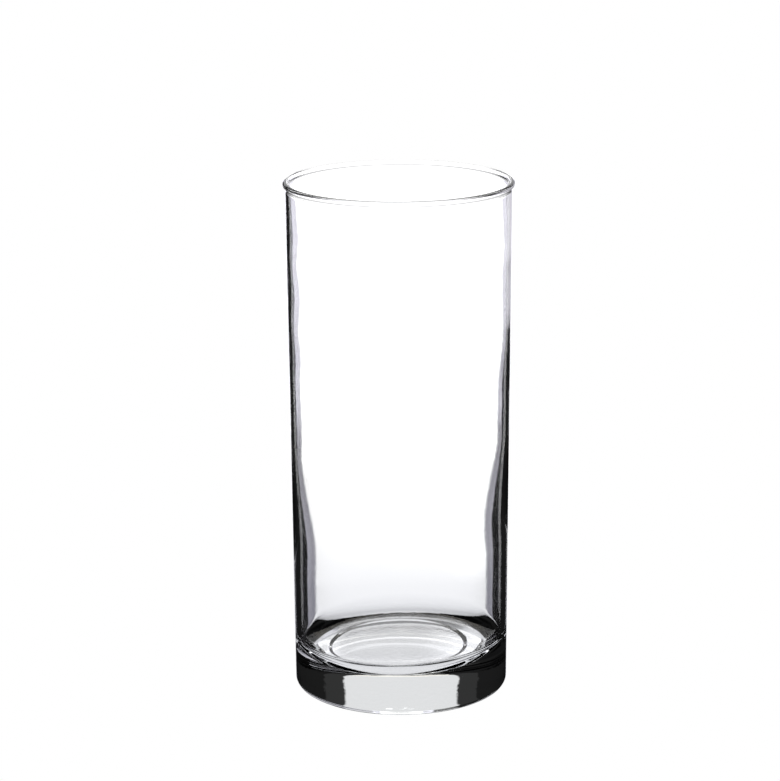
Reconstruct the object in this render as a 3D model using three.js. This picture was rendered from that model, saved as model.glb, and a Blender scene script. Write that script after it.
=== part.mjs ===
// A clear highball tumbler: one piece of machine-made glass, in millimetres, with +Z up.
// The origin is the centre of the foot, on the surface that the glass stands on.
import * as THREE from 'three';

// Overall size
const HEIGHT = 150;
const WALL_FOOT_RADIUS = 30.95; // outside of the wall, carried straight down to the table
const WALL_TOP_RADIUS = 32.25; // outside of the wall, carried straight up to the top of the rim

// Rim: a fire-polished bead, flush with the inside of the wall
const BEAD_PROUD = 0.7; // how far the bead stands out from the outside of the wall
const NECK_RADIUS = 2.5; // hollow between the bead and the wall under it

// Wall: thin above, twice as thick below, with a long soft shoulder on the inside between the two
const UPPER_WALL = 0.95;
const LOWER_WALL = 1.9;
const LOWER_WALL_LENGTH = 23; // thick stretch, from the cavity corner up to the shoulder
const SHOULDER_LENGTH = 42;

// Foot: a solid base, a rounded heel, a flat ring to stand on and a shallow push-up inside the ring
const BASE_THICKNESS = 11.6;
const HEEL_RADIUS = 2.5;
const RING_WIDTH = 2.5;
const PUSH_UP = 0.3;

// Corner of the cavity: it leaves the floor with a slope and bends up into the wall
const CORNER_WIDTH = 6.3;
const CORNER_HEIGHT = 5.2;
const CORNER_SLOPE = THREE.MathUtils.degToRad(8);

// The tip of the plunger left a disc in the middle of the floor, a small step lower
const DISC_RADIUS = 20.6;
const DISC_STEP = 1.5; // width of the step
const DISC_DEPTH = 0.25;

// Fineness of the faceted shape
const SIDES = 72;
const BEAD_STEPS = 10;
const NECK_STEPS = 3;
const SHOULDER_STEPS = 10;
const CORNER_STEPS = 6;
const HEEL_STEPS = 6;
const PUSH_UP_STEPS = 4;

// The wall leans outwards by this angle. In the outline, x is the radius and y is the height.
const LEAN = Math.atan((WALL_TOP_RADIUS - WALL_FOOT_RADIUS) / HEIGHT);
const UP_THE_WALL = new THREE.Vector2(Math.sin(LEAN), Math.cos(LEAN));
const OUT_OF_THE_WALL = new THREE.Vector2(Math.cos(LEAN), -Math.sin(LEAN));

// A point at a height, and a distance inwards from the outside of the wall, square to the wall.
function inTheWall(height, depth) {
  const radius = WALL_FOOT_RADIUS + height * Math.tan(LEAN) - depth / Math.cos(LEAN);
  return new THREE.Vector2(radius, height);
}

function arc(centre, radius, start, end, clockwise) {
  return new THREE.EllipseCurve(centre.x, centre.y, radius, radius, start, end, clockwise);
}

// The angle at which one point is seen from another.
function bearing(from, to) {
  return Math.atan2(to.y - from.y, to.x - from.x);
}

// The push-up is a shallow dome that starts at the inner edge of the ring.
function pushUpCurve(ringInner) {
  const radius = (ringInner ** 2 + PUSH_UP ** 2) / (2 * PUSH_UP);
  const centre = new THREE.Vector2(0, PUSH_UP - radius);
  const edge = new THREE.Vector2(ringInner, 0);
  return arc(centre, radius, Math.PI / 2, bearing(centre, edge), true);
}

function heelCurve(centre) {
  return arc(centre, HEEL_RADIUS, -Math.PI / 2, -LEAN, false);
}

// The neck is a hollow arc that touches the wall and the bead.
function neckCentre(beadCentre, beadRadius) {
  const outwards = NECK_RADIUS + UPPER_WALL - beadRadius;
  const downwards = Math.sqrt((beadRadius + NECK_RADIUS) ** 2 - outwards ** 2);
  return beadCentre.clone()
    .addScaledVector(OUT_OF_THE_WALL, outwards)
    .addScaledVector(UP_THE_WALL, -downwards);
}

// The shoulder is an S: both ends run along the wall.
function shoulderCurve(footHeight) {
  const top = inTheWall(footHeight + SHOULDER_LENGTH, UPPER_WALL);
  const foot = inTheWall(footHeight, LOWER_WALL);
  const topHandle = top.clone().addScaledVector(UP_THE_WALL, -SHOULDER_LENGTH / 2);
  const footHandle = foot.clone().addScaledVector(UP_THE_WALL, SHOULDER_LENGTH / 2);
  return new THREE.CubicBezierCurve(top, topHandle, footHandle, foot);
}

function cornerCurve(floorRadius) {
  const wall = inTheWall(BASE_THICKNESS + CORNER_HEIGHT, LOWER_WALL);
  const bend = inTheWall(BASE_THICKNESS + CORNER_WIDTH * Math.tan(CORNER_SLOPE), LOWER_WALL);
  const edge = new THREE.Vector2(floorRadius, BASE_THICKNESS);
  return new THREE.QuadraticBezierCurve(wall, bend, edge);
}

// The outline runs from the axis under the foot, up the outside, over the rim, down the inside and
// back to the axis on the floor. Its straight stretches join the end of one curve to the next.
function outlinePoints() {
  const heelCentre = inTheWall(HEEL_RADIUS, HEEL_RADIUS);
  const beadRadius = (UPPER_WALL + BEAD_PROUD) / 2;
  const beadCentre = inTheWall(HEIGHT - beadRadius, UPPER_WALL - beadRadius);
  const neckMiddle = neckCentre(beadCentre, beadRadius);
  const beadStart = bearing(beadCentre, neckMiddle);
  const floorRadius = inTheWall(BASE_THICKNESS, LOWER_WALL + CORNER_WIDTH).x;
  const discHeight = BASE_THICKNESS - DISC_DEPTH;
  return [
    ...pushUpCurve(heelCentre.x - RING_WIDTH).getPoints(PUSH_UP_STEPS),
    ...heelCurve(heelCentre).getPoints(HEEL_STEPS),
    ...arc(neckMiddle, NECK_RADIUS, Math.PI - LEAN, beadStart + Math.PI, true).getPoints(NECK_STEPS),
    ...arc(beadCentre, beadRadius, beadStart, Math.PI - LEAN, false).getPoints(BEAD_STEPS).slice(1),
    ...shoulderCurve(BASE_THICKNESS + CORNER_HEIGHT + LOWER_WALL_LENGTH).getPoints(SHOULDER_STEPS),
    ...cornerCurve(floorRadius).getPoints(CORNER_STEPS),
    new THREE.Vector2(DISC_RADIUS, BASE_THICKNESS),
    new THREE.Vector2(DISC_RADIUS - DISC_STEP, discHeight),
    new THREE.Vector2(0, discHeight),
  ];
}

function clearGlass() {
  return new THREE.MeshStandardMaterial({
    color: 0xeef2f3,
    roughness: 0.02,
    metalness: 0,
    transparent: true,
    opacity: 0.35,
  });
}

const glassShape = new THREE.LatheGeometry(outlinePoints(), SIDES);
glassShape.rotateX(Math.PI / 2);

const highballGlass = new THREE.Mesh(glassShape, clearGlass());
highballGlass.name = 'highball_glass';

const object = new THREE.Group();
object.add(highballGlass);

export default object;
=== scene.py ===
"""A clear highball glass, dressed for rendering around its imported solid.

Lengths are in metres, apart from names that end in _MM. +Z is up, and the camera looks along +Y.
"""

import math

import bpy
from mathutils import Matrix, Vector


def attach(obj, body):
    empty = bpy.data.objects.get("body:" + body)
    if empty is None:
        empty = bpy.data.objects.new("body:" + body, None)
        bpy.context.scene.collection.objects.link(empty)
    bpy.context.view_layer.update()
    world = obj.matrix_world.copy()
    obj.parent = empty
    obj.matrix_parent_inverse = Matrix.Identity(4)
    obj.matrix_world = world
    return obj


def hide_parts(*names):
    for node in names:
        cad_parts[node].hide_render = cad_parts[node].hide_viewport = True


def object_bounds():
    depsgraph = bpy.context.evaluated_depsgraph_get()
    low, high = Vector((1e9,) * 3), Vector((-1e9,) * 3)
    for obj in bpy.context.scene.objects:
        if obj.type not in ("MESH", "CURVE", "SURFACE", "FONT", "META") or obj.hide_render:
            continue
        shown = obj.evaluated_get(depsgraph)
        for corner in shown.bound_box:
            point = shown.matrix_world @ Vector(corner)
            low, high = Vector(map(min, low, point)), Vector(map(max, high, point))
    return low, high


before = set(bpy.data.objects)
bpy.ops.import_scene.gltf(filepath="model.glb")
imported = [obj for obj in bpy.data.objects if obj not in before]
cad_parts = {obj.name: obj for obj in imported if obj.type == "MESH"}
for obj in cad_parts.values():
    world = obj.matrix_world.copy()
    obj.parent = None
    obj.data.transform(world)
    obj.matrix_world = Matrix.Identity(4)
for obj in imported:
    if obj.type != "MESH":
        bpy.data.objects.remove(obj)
CAD_LOW, CAD_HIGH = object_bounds()
MM = 0.001

# The glass, in the sizes of its solid. The height comes from the frame.
HEIGHT = CAD_HIGH.z - CAD_LOW.z
WALL_FOOT_RADIUS = 30.95 * MM
WALL_TOP_RADIUS = 32.25 * MM
BEAD_PROUD = 0.7 * MM
NECK_RADIUS = 2.5 * MM
UPPER_WALL = 0.95 * MM
BASE_THICKNESS = 11.6 * MM
HEEL_RADIUS = 2.5 * MM
RING_WIDTH = 2.5 * MM
PUSH_UP = 0.3 * MM

# The wall thickens downwards in two soft steps that differ from side to side, because the hot glass
# ran unevenly in its mould. A step is the height of its middle, its length and how much it adds.
STEPS_LEFT = ((80 * MM, 40 * MM, 0.06 * MM), (54 * MM, 34 * MM, 0.8 * MM))
STEPS_RIGHT = ((88 * MM, 28 * MM, 0.1 * MM), (62 * MM, 32 * MM, 0.74 * MM))
LOWER_WALL = UPPER_WALL + sum(step[2] for step in STEPS_LEFT + STEPS_RIGHT) / 2

# Above the steps the wall is thinner on the right, and waves in it pass from thick to thin. A wave is
# the height of one of its crests and its length.
THIN_RIGHT = 0.17 * MM
THIN_LENGTH = 22 * MM
WAVE_LEFT = (116 * MM, 20 * MM)
WAVE_RIGHT = (120 * MM, 38 * MM)
WAVE_DEPTH = 0.035 * MM
WAVE_END = 88 * MM

# The floor leans a little. The tip of the plunger left a disc near its middle, a small step lower.
FLOOR_RISE_RIGHT = 0.026
FLOOR_RISE_BACK = 0.03
DISC_RADIUS = 20.6 * MM
DISC_SHIFT = 0.9 * MM
DISC_DEPTH = 0.25 * MM
DISC_STEP = 1.5 * MM

# The corner between floor and wall, which turns up more sharply at the sides and the back, because the
# hot glass ran unevenly here too. A corner is its width, its height, the slope that it leaves the floor
# with, how far its curve is drawn along that slope, and how far down along the wall.
CORNER_FRONT = (6.0 * MM, 5.2 * MM, math.radians(30), 4.0 * MM, 1.16 * MM)
CORNER_LEFT = (4.2 * MM, 3.0 * MM, math.radians(10), 2.8 * MM, 0.8 * MM)
CORNER_RIGHT = (4.6 * MM, 4.0 * MM, math.radians(15), 2.8 * MM, 1.2 * MM)
CORNER_BACK = (4.2 * MM, 5.0 * MM, math.radians(10), 2.8 * MM, 1.5 * MM)

# Where one corner passes into the next: -1 is the very front, 0 the sides and 1 the very back.
FRONT_TO_SIDES = (-0.2, 0.1)
SIDES_TO_BACK = (0.3, 0.6)

# Fineness of the mesh
SIDES = 256
RING_STEP = 1 * MM
ARC_STEPS = 16
WALL_RINGS = 130
CORNER_RINGS = 24
FLOOR_RINGS = 5
STEP_RINGS = 10

# The camera of the photograph: where it stands, how it is turned, and its focal length in pixels.
IMAGE_PIXELS = 781
CAMERA_DISTANCE = 0.8305
CAMERA_HEIGHT = 0.3056
CAMERA_PITCH = math.radians(14.654)
CAMERA_YAW = math.radians(-0.193)
CAMERA_ROLL = math.radians(-0.334)
FOCAL_PIXELS = 2979.0
SENSOR_MM = 36.0


def smooth(t):
    """A soft step from 0 to 1."""
    t = min(max(t, 0.0), 1.0)
    return t * t * (3 - 2 * t)


def rise(value, span):
    """A soft step from 0 at the start of a span to 1 at its end."""
    start, end = span
    return smooth((value - start) / (end - start))


LEAN = math.atan((WALL_TOP_RADIUS - WALL_FOOT_RADIUS) / HEIGHT)
UP_THE_WALL = Vector((math.sin(LEAN), math.cos(LEAN)))
OUT_OF_THE_WALL = Vector((math.cos(LEAN), -math.sin(LEAN)))


def in_the_wall(height, depth):
    """The point of the outline at a height, and a depth square to the outside of the wall."""
    return Vector((WALL_FOOT_RADIUS + height * math.tan(LEAN) - depth / math.cos(LEAN), height))


def arc(centre, radius, start, end):
    """Points along an arc of the outline, from one angle to another."""
    angles = [start + (end - start) * i / ARC_STEPS for i in range(ARC_STEPS + 1)]
    return [centre + radius * Vector((math.cos(a), math.sin(a))) for a in angles]


def straight(start, end):
    """The points between two points of the outline, without the two."""
    count = max(1, round((end - start).length / RING_STEP))
    return [start.lerp(end, i / count) for i in range(1, count)]


def bearing(start, end):
    """The angle of the way from one point of the outline to another."""
    return math.atan2(end.y - start.y, end.x - start.x)


def outside_points():
    """The outline from the axis under the foot, over the heel and up to the inside of the rim."""
    heel_centre = in_the_wall(HEEL_RADIUS, HEEL_RADIUS)
    ring_inner = heel_centre.x - RING_WIDTH
    dome_radius = (ring_inner ** 2 + PUSH_UP ** 2) / (2 * PUSH_UP)
    dome_centre = Vector((0, PUSH_UP - dome_radius))
    dome = arc(dome_centre, dome_radius, math.pi / 2, bearing(dome_centre, Vector((ring_inner, 0))))
    heel = arc(heel_centre, HEEL_RADIUS, -math.pi / 2, -LEAN)
    bead_radius = (UPPER_WALL + BEAD_PROUD) / 2
    bead_centre = in_the_wall(HEIGHT - bead_radius, UPPER_WALL - bead_radius)
    neck_out = NECK_RADIUS + UPPER_WALL - bead_radius
    neck_down = math.sqrt((bead_radius + NECK_RADIUS) ** 2 - neck_out ** 2)
    neck_centre = bead_centre + OUT_OF_THE_WALL * neck_out - UP_THE_WALL * neck_down
    bead_start = bearing(bead_centre, neck_centre)
    neck = arc(neck_centre, NECK_RADIUS, math.pi - LEAN, bead_start + math.pi)
    bead = arc(bead_centre, bead_radius, bead_start, math.pi - LEAN)
    return dome + straight(dome[-1], heel[0]) + heel + straight(heel[-1], neck[0]) + neck + bead[1:]


def wave_at(height, wave):
    """The height of a wave in the wall, from -1 to 1."""
    crest, length = wave
    return math.cos(2 * math.pi * (height - crest) / length)


def wall_at(height, angle):
    """The thickness of the wall at a height, on the side that an angle from +X points to."""
    right = (1 + math.cos(angle)) / 2
    wall = UPPER_WALL
    for left_step, right_step in zip(STEPS_LEFT, STEPS_RIGHT):
        middle, length, added = (a + (b - a) * right for a, b in zip(left_step, right_step))
        wall += added * smooth((middle - height) / length + 0.5)
    thin = smooth((HEIGHT - height) / THIN_LENGTH) * smooth((height - WAVE_END) / THIN_LENGTH)
    wave = (1 - right) * wave_at(height, WAVE_LEFT) + right * wave_at(height, WAVE_RIGHT)
    return wall + (WAVE_DEPTH * wave - THIN_RIGHT * right) * thin


def mixed(first, second, share):
    """Two corners mixed, by the share of the second."""
    return [a + (b - a) * share for a, b in zip(first, second)]


def inside_points(angle):
    """The outline on one side from under the rim down the wall, round the corner and over the floor."""
    back = math.sin(angle)
    corner = mixed(CORNER_LEFT, CORNER_RIGHT, (1 + math.cos(angle)) / 2)
    corner = mixed(CORNER_FRONT, corner, rise(back, FRONT_TO_SIDES))
    corner = mixed(corner, CORNER_BACK, rise(back, SIDES_TO_BACK))
    corner_width, corner_height, corner_slope, corner_knee, corner_drop = corner
    floor_radius = WALL_FOOT_RADIUS - LOWER_WALL - corner_width
    lean = FLOOR_RISE_RIGHT * math.cos(angle) + FLOOR_RISE_BACK * back
    disc_radius = DISC_RADIUS - DISC_SHIFT * math.cos(angle)
    edge = Vector((floor_radius, BASE_THICKNESS + lean * floor_radius))
    top = HEIGHT - (UPPER_WALL + BEAD_PROUD) / 2
    bottom = edge.y + corner_height
    points = []
    for i in range(1, WALL_RINGS + 1):
        height = top + (bottom - top) * i / WALL_RINGS
        points.append(in_the_wall(height, wall_at(height, angle)))
    wall = points[-1]
    low = wall - Vector((0, corner_drop))
    knee = edge + corner_knee * Vector((1, math.tan(corner_slope)))
    for i in range(1, CORNER_RINGS + 1):
        along = i / CORNER_RINGS
        upper = wall.lerp(low, along).lerp(low.lerp(knee, along), along)
        lower = low.lerp(knee, along).lerp(knee.lerp(edge, along), along)
        points.append(upper.lerp(lower, along))
    to_disc = disc_radius - floor_radius
    inwards = [floor_radius + to_disc * i / FLOOR_RINGS for i in range(1, FLOOR_RINGS + 1)]
    inwards += [disc_radius - DISC_STEP * i / STEP_RINGS for i in range(1, STEP_RINGS + 1)]
    inwards += [(disc_radius - DISC_STEP) * (1 - i / FLOOR_RINGS) for i in range(1, FLOOR_RINGS)]
    for radius in inwards:
        lowered = DISC_DEPTH * smooth((disc_radius - radius) / DISC_STEP)
        points.append(Vector((radius, BASE_THICKNESS + lean * radius - lowered)))
    return points


def make_glass_mesh():
    """The glass as one closed mesh: a ring of points for each point of the outline."""
    outside = outside_points()[1:]
    angles = [2 * math.pi * k / SIDES for k in range(SIDES)]
    outlines = [outside + inside_points(angle) for angle in angles]
    points = []
    for row in range(len(outlines[0])):
        for angle, outline in zip(angles, outlines):
            radius, height = outline[row]
            points.append((radius * math.cos(angle), radius * math.sin(angle), height))
    faces = []
    for row in range(len(outlines[0]) - 1):
        for k in range(SIDES):
            here, beside = row * SIDES + k, row * SIDES + (k + 1) % SIDES
            faces.append((here, beside, beside + SIDES, here + SIDES))
    under, floor = len(points), len(points) + 1
    points.append((0, 0, outside_points()[0].y))
    points.append((0, 0, BASE_THICKNESS - DISC_DEPTH))
    last = (len(outlines[0]) - 1) * SIDES
    for k in range(SIDES):
        beside = (k + 1) % SIDES
        faces.append((under, beside, k))
        faces.append((floor, last + k, last + beside))
    mesh = bpy.data.meshes.new("clear_tumbler")
    mesh.from_pydata(points, [], faces)
    mesh.shade_smooth()
    return mesh


# The glass, soda-lime, with a faint tint where it is thick
GLASS_INDEX = 1.52
GLASS_TINT = (0.95, 0.98, 0.98, 1)
GLASS_TINT_DENSITY = 8.0

# Its finish: smudges left by wiping, where a noise is high, and ripples from the mould. A share of the
# ripples is a place between the foot and their reach, and their strength there.
SMUDGES_PER_METRE = 45
SMUDGE_ROUGHNESS = 0.02
SMUDGE_NOISE = (0.55, 0.75)
RIPPLES_PER_METRE = 600
RIPPLE_DEPTH = 0.04 * MM
RIPPLE_REACH = 15 * MM
RIPPLE_SHARES = ((0.0, 0.2), (0.1, 0.2), (0.2, 1.0), (0.5, 1.0), (0.72, 0.06))


def node(tree, kind, **values):
    """A new shader node with some of its inputs set."""
    made = tree.nodes.new(kind)
    for name, value in values.items():
        made.inputs[name.replace("_", " ")].default_value = value
    return made


def glass_material():
    """Clear glass, with its tint, smudges and ripples."""
    material = bpy.data.materials.new("clear_glass")
    material.use_nodes = True
    tree = material.node_tree
    shader = tree.nodes["Principled BSDF"]
    shader.inputs["Base Color"].default_value = (1, 1, 1, 1)
    shader.inputs["IOR"].default_value = GLASS_INDEX
    shader.inputs["Transmission Weight"].default_value = 1.0
    place = node(tree, "ShaderNodeTexCoord").outputs["Object"]

    smudges = node(tree, "ShaderNodeTexNoise", Scale=SMUDGES_PER_METRE, Detail=4.0, Roughness=0.65)
    low, high = SMUDGE_NOISE
    rough = node(tree, "ShaderNodeMapRange", From_Min=low, From_Max=high, To_Max=SMUDGE_ROUGHNESS)
    tree.links.new(place, smudges.inputs["Vector"])
    tree.links.new(smudges.outputs["Fac"], rough.inputs["Value"])
    tree.links.new(rough.outputs["Result"], shader.inputs["Roughness"])

    ripples = node(tree, "ShaderNodeTexNoise", Scale=RIPPLES_PER_METRE, Detail=1.0)
    split = node(tree, "ShaderNodeSeparateXYZ")
    reach = node(tree, "ShaderNodeMapRange", From_Max=RIPPLE_REACH)
    share = node(tree, "ShaderNodeValToRGB")
    for i, (position, level) in enumerate(RIPPLE_SHARES):
        stop = share.color_ramp.elements[i] if i < 2 else share.color_ramp.elements.new(position)
        stop.position = position
        stop.color = (level, level, level, 1)
    bump = node(tree, "ShaderNodeBump", Distance=RIPPLE_DEPTH)
    tree.links.new(place, ripples.inputs["Vector"])
    tree.links.new(place, split.inputs["Vector"])
    tree.links.new(split.outputs["Z"], reach.inputs["Value"])
    tree.links.new(reach.outputs["Result"], share.inputs["Fac"])
    tree.links.new(share.outputs["Color"], bump.inputs["Strength"])
    tree.links.new(ripples.outputs["Fac"], bump.inputs["Height"])
    tree.links.new(bump.outputs["Normal"], shader.inputs["Normal"])

    tint = node(tree, "ShaderNodeVolumeAbsorption", Color=GLASS_TINT, Density=GLASS_TINT_DENSITY)
    tree.links.new(tint.outputs["Volume"], tree.nodes["Material Output"].inputs["Volume"])
    return material


def make_glass():
    """The one piece of the part, in place of its solid."""
    piece = bpy.data.objects.new("clear_tumbler", make_glass_mesh())
    bpy.context.collection.objects.link(piece)
    piece.data.materials.append(glass_material())
    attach(piece, "root")
    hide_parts("highball_glass")


# The stage: a white floor, and a studio round the glass that only its reflections and refractions
# show. Angles are degrees: azimuth from straight behind the glass, elevation from level.
STUDIO_RADIUS = 4.0
STUDIO_AZIMUTH = 70
STUDIO_LOW = -89
STUDIO_HIGH = 70
STUDIO_COLUMNS_PER_DEGREE = 2

# Its light. White stands behind the glass, brighter to its sides. Beyond it comes lavender, weaker low
# down, and then the dark, or something pale on the right.
WHITE = Vector((1.55, 1.55, 1.55))
WHITE_SIDES = 1.5
LAVENDER_INNER = Vector((0.72, 0.71, 0.8))
LAVENDER_OUTER = Vector((1.1, 1.08, 1.22))
CEILING = Vector((0.83, 0.83, 0.84))
HIGH_CEILING = Vector((1.18, 1.14, 1.06))
PALE = Vector((0.7, 0.69, 0.75))
DARK = Vector((0.012, 0.012, 0.012))
DARK_CEILING = Vector((0.035, 0.035, 0.035))
LAVENDER_LOW = 0.6
LAVENDER_HIGH = 1.5

# Where one light passes into the next, to the sides
WHITE_TO_SIDES = (2, 5)
WHITE_EDGE = (7.6, 8.2)
LAVENDER_TO_OUTER = (8, 11.5)
LAVENDER_EDGE_LEFT = (11.5, 12.3)
LAVENDER_EDGE_RIGHT = (10.4, 11.2)
CEILING_EDGE = (23, 24.5)
DARK_CEILING_EDGE = (35.5, 37)
TABLE_EDGE = (35, 45)

# Where one light passes into the next, upwards
TABLE_END = (-38, -30)
WHITE_SIDES_START = (-18.8, -17.2)
LAVENDER_LIFT = (-16.3, -14.8)
PALE_START = (-13.2, -12)
CEILING_START = (7, 9)
HIGH_CEILING_START = (27, 32)


def studio_light(azimuth, elevation):
    """The light that comes to the glass from a direction."""
    off = abs(azimuth)
    ceiling = CEILING.lerp(HIGH_CEILING, rise(elevation, HIGH_CEILING_START))
    upper = DARK_CEILING.lerp(DARK, rise(off, DARK_CEILING_EDGE))
    upper = ceiling.lerp(upper, rise(off, CEILING_EDGE))
    lavender = LAVENDER_INNER.lerp(LAVENDER_OUTER, rise(off, LAVENDER_TO_OUTER))
    lavender *= LAVENDER_LOW + (LAVENDER_HIGH - LAVENDER_LOW) * rise(elevation, LAVENDER_LIFT)
    if azimuth > 0:
        beyond = DARK.lerp(PALE, rise(elevation, PALE_START))
        level = lavender.lerp(beyond, rise(off, LAVENDER_EDGE_RIGHT))
    else:
        level = lavender.lerp(DARK, rise(off, LAVENDER_EDGE_LEFT))
    sides = rise(off, WHITE_TO_SIDES) * rise(elevation, WHITE_SIDES_START)
    white = WHITE * (1 + (WHITE_SIDES - 1) * sides)
    level = white.lerp(level, rise(off, WHITE_EDGE))
    table = WHITE.lerp(DARK, rise(off, TABLE_EDGE))
    level = table.lerp(level, rise(elevation, TABLE_END))
    return level.lerp(upper, rise(elevation, CEILING_START))


def coloured_material(name, shader_type):
    """A shader whose colour is painted on the points of its mesh."""
    material = bpy.data.materials.new(name)
    material.use_nodes = True
    tree = material.node_tree
    tree.nodes.clear()
    painted = tree.nodes.new("ShaderNodeVertexColor")
    painted.layer_name = "light"
    shader = tree.nodes.new(shader_type)
    output = tree.nodes.new("ShaderNodeOutputMaterial")
    tree.links.new(painted.outputs["Color"], shader.inputs["Color"])
    tree.links.new(shader.outputs[0], output.inputs["Surface"])
    return material


def make_painted_grid(name, rows, columns, place, light, shader_type):
    """A sheet for the stage, made of a grid of points that are placed and painted by two functions."""
    points = [place(row, column) for row in rows for column in columns]
    width = len(columns)
    faces = []
    for j in range(len(rows) - 1):
        for i in range(width - 1):
            corner = j * width + i
            faces.append((corner, corner + 1, corner + width + 1, corner + width))
    mesh = bpy.data.meshes.new(name)
    mesh.from_pydata(points, [], faces)
    paint = mesh.color_attributes.new("light", "FLOAT_COLOR", "POINT")
    colours = [light(row, column) for row in rows for column in columns]
    for mark, colour in zip(paint.data, colours):
        mark.color = (*colour, 1)
    mesh.materials.append(coloured_material(name, shader_type))
    sheet = bpy.data.objects.new(name, mesh)
    bpy.context.collection.objects.link(sheet)
    sheet.visible_camera = False
    sheet.visible_diffuse = False
    sheet.visible_shadow = False
    return sheet


def studio_point(elevation, azimuth):
    """The place in the studio that a direction points to."""
    a, e = math.radians(azimuth), math.radians(elevation)
    flat = STUDIO_RADIUS * math.cos(e)
    return (flat * math.sin(a), flat * math.cos(a), STUDIO_RADIUS * math.sin(e))


def make_studio(camera):
    """The studio stands on a turntable that keeps it behind the glass, seen from the camera."""
    turntable = bpy.data.objects.new("turntable", None)
    bpy.context.collection.objects.link(turntable)
    turntable.location.z = HEIGHT / 2
    elevations = range(STUDIO_LOW, STUDIO_HIGH + 1)
    columns = STUDIO_AZIMUTH * STUDIO_COLUMNS_PER_DEGREE
    azimuths = [i / STUDIO_COLUMNS_PER_DEGREE for i in range(-columns, columns + 1)]
    studio = make_painted_grid(
        "studio", elevations, azimuths, studio_point,
        lambda elevation, azimuth: studio_light(azimuth, elevation), "ShaderNodeEmission")
    studio.parent = turntable
    turn = turntable.constraints.new("LOCKED_TRACK")
    turn.target = camera
    turn.track_axis = "TRACK_NEGATIVE_Y"
    turn.lock_axis = "LOCK_Z"


# The shade that the glass throws on the table: the share of light left at a distance from the axis.
# The dark ring is where the glass touches the table.
SHADE_MM = (
    (0, 0.76), (27.4, 0.76), (28.2, 0.25), (30.5, 0.06), (31.3, 0.3), (32, 0.6),
    (33, 0.64), (35, 0.54), (38, 0.49), (40, 0.52), (43, 0.6), (49, 0.66),
    (60, 0.7), (89, 0.73), (112, 0.8), (140, 0.9), (173, 0.96), (230, 1.0),
)
SHADE_TINT = Vector((0.95, 0.96, 1.0))
SHADE_TINT_END = (0.6, 1.0)
SHADE_FOOT = 32 * MM
SHADE_FRONT = 0.68
SHADE_SIDES = 0.55
SHADE_SIDES_START = (0.55, 0.75)
SHADE_DEPTH = 0.1 * MM
SHADE_FINE_STEP = 0.2 * MM
SHADE_FINE_REACH = 50 * MM
SHADE_COARSE_STEP = 5 * MM
SHADE_TURNS = 64
NO_TINT = Vector((1, 1, 1))


def shade_at(distance, turn):
    """The light left, a little blue where little is left. Under the foot there is less in front, and
    more at the sides, where light comes in.
    """
    level = 1.0
    for (near, light), (far, next_light) in zip(SHADE_MM, SHADE_MM[1:]):
        if near * MM <= distance <= far * MM:
            level = light + (next_light - light) * (distance / MM - near) / (far - near)
    if distance < SHADE_FOOT:
        front = smooth(0.5 - distance * math.sin(turn) / SHADE_FOOT)
        level *= 1 + (SHADE_FRONT - 1) * front
        level = max(level, SHADE_SIDES * rise(abs(math.cos(turn)), SHADE_SIDES_START))
    return level * SHADE_TINT.lerp(NO_TINT, rise(level, SHADE_TINT_END))


def make_shade():
    """The shade as a round sheet just under the table, finer near the foot."""
    end = SHADE_MM[-1][0] * MM
    fine_steps = round(SHADE_FINE_REACH / SHADE_FINE_STEP)
    coarse_steps = round((end - SHADE_FINE_REACH) / SHADE_COARSE_STEP)
    distances = [SHADE_FINE_STEP * i for i in range(fine_steps)]
    distances += [SHADE_FINE_REACH + SHADE_COARSE_STEP * i for i in range(coarse_steps + 1)]
    turns = [2 * math.pi * i / SHADE_TURNS for i in range(SHADE_TURNS + 1)]
    make_painted_grid(
        "shade", distances, turns,
        lambda distance, turn: (distance * math.cos(turn), distance * math.sin(turn), -SHADE_DEPTH),
        shade_at, "ShaderNodeBsdfTransparent")


FLOOR_SIZE = 12.0
PAPER = (0.9, 0.9, 0.9, 1)
PAGE_WHITE = (1, 1, 1, 1)


def floor_material():
    """Pale paper that is white to the camera."""
    material = bpy.data.materials.new("floor_white")
    material.use_nodes = True
    tree = material.node_tree
    tree.nodes.clear()
    output = tree.nodes.new("ShaderNodeOutputMaterial")
    paper = tree.nodes.new("ShaderNodeBsdfDiffuse")
    paper.inputs["Color"].default_value = PAPER
    glow = tree.nodes.new("ShaderNodeEmission")
    glow.inputs["Color"].default_value = PAGE_WHITE
    path = tree.nodes.new("ShaderNodeLightPath")
    mix = tree.nodes.new("ShaderNodeMixShader")
    tree.links.new(path.outputs["Is Camera Ray"], mix.inputs["Fac"])
    tree.links.new(paper.outputs[0], mix.inputs[1])
    tree.links.new(glow.outputs[0], mix.inputs[2])
    tree.links.new(mix.outputs[0], output.inputs["Surface"])
    return material


def make_floor():
    """The floor, which the glass itself doesn't show."""
    half = FLOOR_SIZE / 2
    mesh = bpy.data.meshes.new("floor")
    corners = [(-half, -half, 0), (half, -half, 0), (half, half, 0), (-half, half, 0)]
    mesh.from_pydata(corners, [], [(0, 1, 2, 3)])
    mesh.materials.append(floor_material())
    floor = bpy.data.objects.new("floor", mesh)
    bpy.context.collection.objects.link(floor)
    floor.visible_glossy = False
    floor.visible_transmission = False


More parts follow.
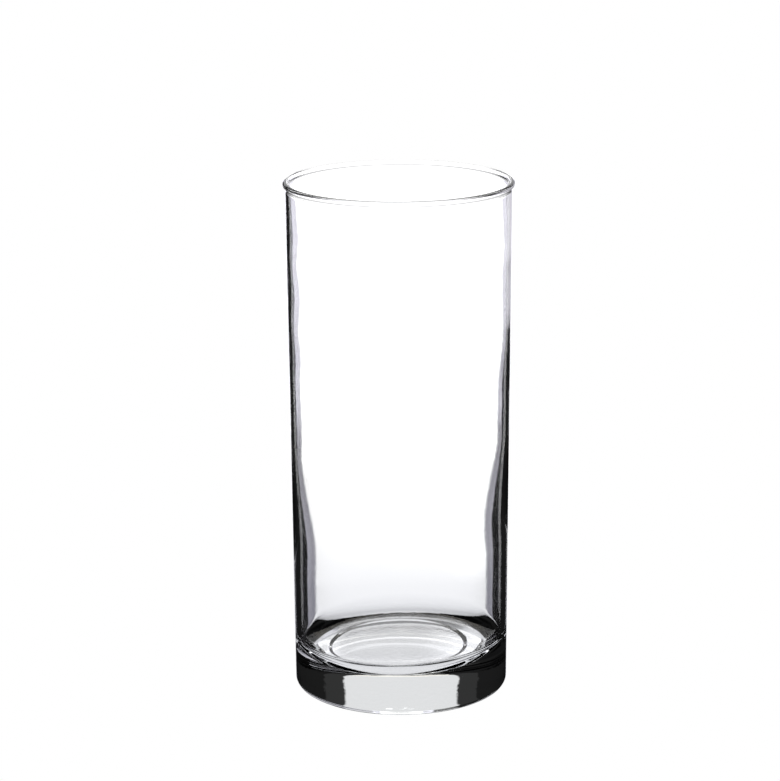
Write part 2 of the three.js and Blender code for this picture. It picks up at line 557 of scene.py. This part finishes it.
def make_world():
    """A world that is white to the camera, and dark where the glass looks past the studio."""
    world = bpy.data.worlds.new("studio")
    bpy.context.scene.world = world
    world.use_nodes = True
    tree = world.node_tree
    tree.nodes.clear()
    output = tree.nodes.new("ShaderNodeOutputWorld")
    path = tree.nodes.new("ShaderNodeLightPath")
    white = tree.nodes.new("ShaderNodeBackground")
    white.inputs["Color"].default_value = PAGE_WHITE
    dark = tree.nodes.new("ShaderNodeBackground")
    dark.inputs["Color"].default_value = (*DARK, 1)
    mix = tree.nodes.new("ShaderNodeMixShader")
    tree.links.new(path.outputs["Is Camera Ray"], mix.inputs["Fac"])
    tree.links.new(dark.outputs[0], mix.inputs[1])
    tree.links.new(white.outputs[0], mix.inputs[2])
    tree.links.new(mix.outputs[0], output.inputs["Surface"])


def make_camera():
    """The camera of the photograph."""
    data = bpy.data.cameras.new("camera")
    data.sensor_width = SENSOR_MM
    data.lens = FOCAL_PIXELS * SENSOR_MM / IMAGE_PIXELS
    camera = bpy.data.objects.new("camera", data)
    bpy.context.collection.objects.link(camera)
    forward = Vector((
        math.sin(CAMERA_YAW) * math.cos(CAMERA_PITCH),
        math.cos(CAMERA_YAW) * math.cos(CAMERA_PITCH),
        -math.sin(CAMERA_PITCH),
    ))
    right = Vector((math.cos(CAMERA_YAW), -math.sin(CAMERA_YAW), 0))
    up = right.cross(forward)
    turned = Matrix((right, up, -forward)).transposed().to_4x4()
    place = Matrix.Translation((0, -CAMERA_DISTANCE, CAMERA_HEIGHT))
    camera.matrix_world = place @ turned @ Matrix.Rotation(CAMERA_ROLL, 4, "Z")
    bpy.context.scene.camera = camera
    return camera


LAMP_PLACE = Vector((0, 0.3, 1.6))
LAMP_SIZE = 1.2
LAMP_WATTS = 20


def make_lamp():
    """A soft round lamp overhead, which the glass doesn't show."""
    data = bpy.data.lights.new("overhead", "AREA")
    data.shape = "DISK"
    data.size = LAMP_SIZE
    data.energy = LAMP_WATTS
    lamp = bpy.data.objects.new("overhead", data)
    bpy.context.collection.objects.link(lamp)
    lamp.location = LAMP_PLACE
    lamp.rotation_euler = (-LAMP_PLACE).to_track_quat("-Z", "Y").to_euler()
    lamp.visible_glossy = False
    lamp.visible_transmission = False


bpy.context.scene.view_settings.view_transform = "Standard"
make_glass()
camera = make_camera()
make_studio(camera)
make_shade()
make_floor()
make_world()
make_lamp()
